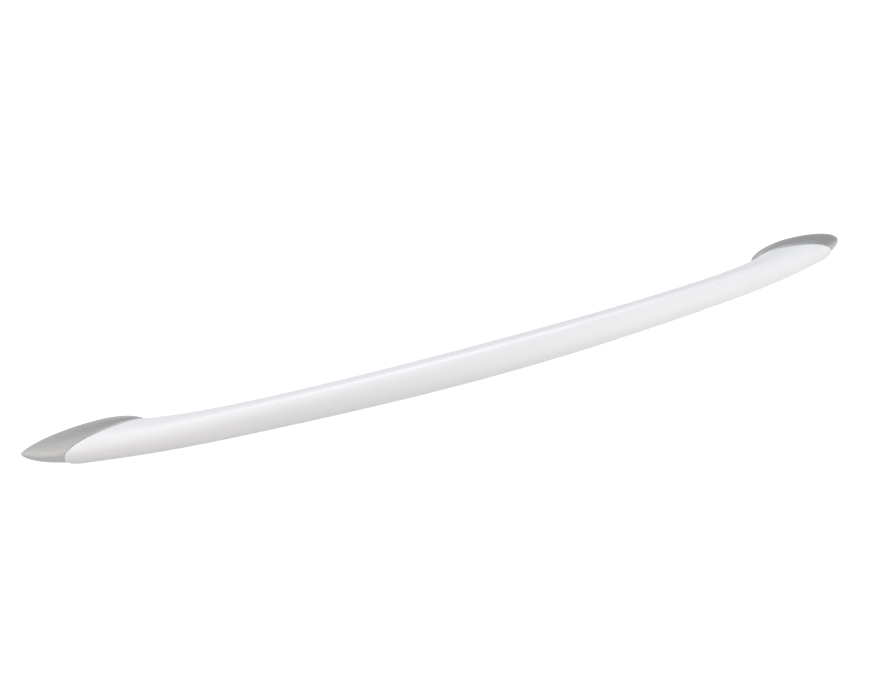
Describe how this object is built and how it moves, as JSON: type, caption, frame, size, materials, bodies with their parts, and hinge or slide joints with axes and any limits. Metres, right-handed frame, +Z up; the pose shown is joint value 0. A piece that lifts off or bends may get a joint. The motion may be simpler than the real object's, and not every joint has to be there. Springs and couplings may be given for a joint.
{
  "type": "oven door handle",
  "caption": "Slender bowed grip bar on two slanting end caps with leaf-shaped feet, fixed to an oven door by screws from inside.",
  "frame": {"origin": "on the door's face, halfway between the two fixing screws", "axes": "+X along the handle to its right end, +Y into the door, +Z up; the grip stands out towards -Y"},
  "size_m": [0.54, 0.0376, 0.0194],
  "materials": {
    "white_plastic": "white moulded plastic, satin gloss",
    "silver_plastic": "moulded plastic with silver-grey satin paint",
    "brass": "turned brass",
    "zinc_plated_steel": "zinc plated steel"
  },
  "bodies": {
    "root": {"grip_bar": "white_plastic", "left_end_cap": "silver_plastic", "right_end_cap": "silver_plastic", "left_threaded_insert": "brass", "right_threaded_insert": "brass", "left_cap_screw": "zinc_plated_steel", "right_cap_screw": "zinc_plated_steel"}
  },
  "joints": []
}
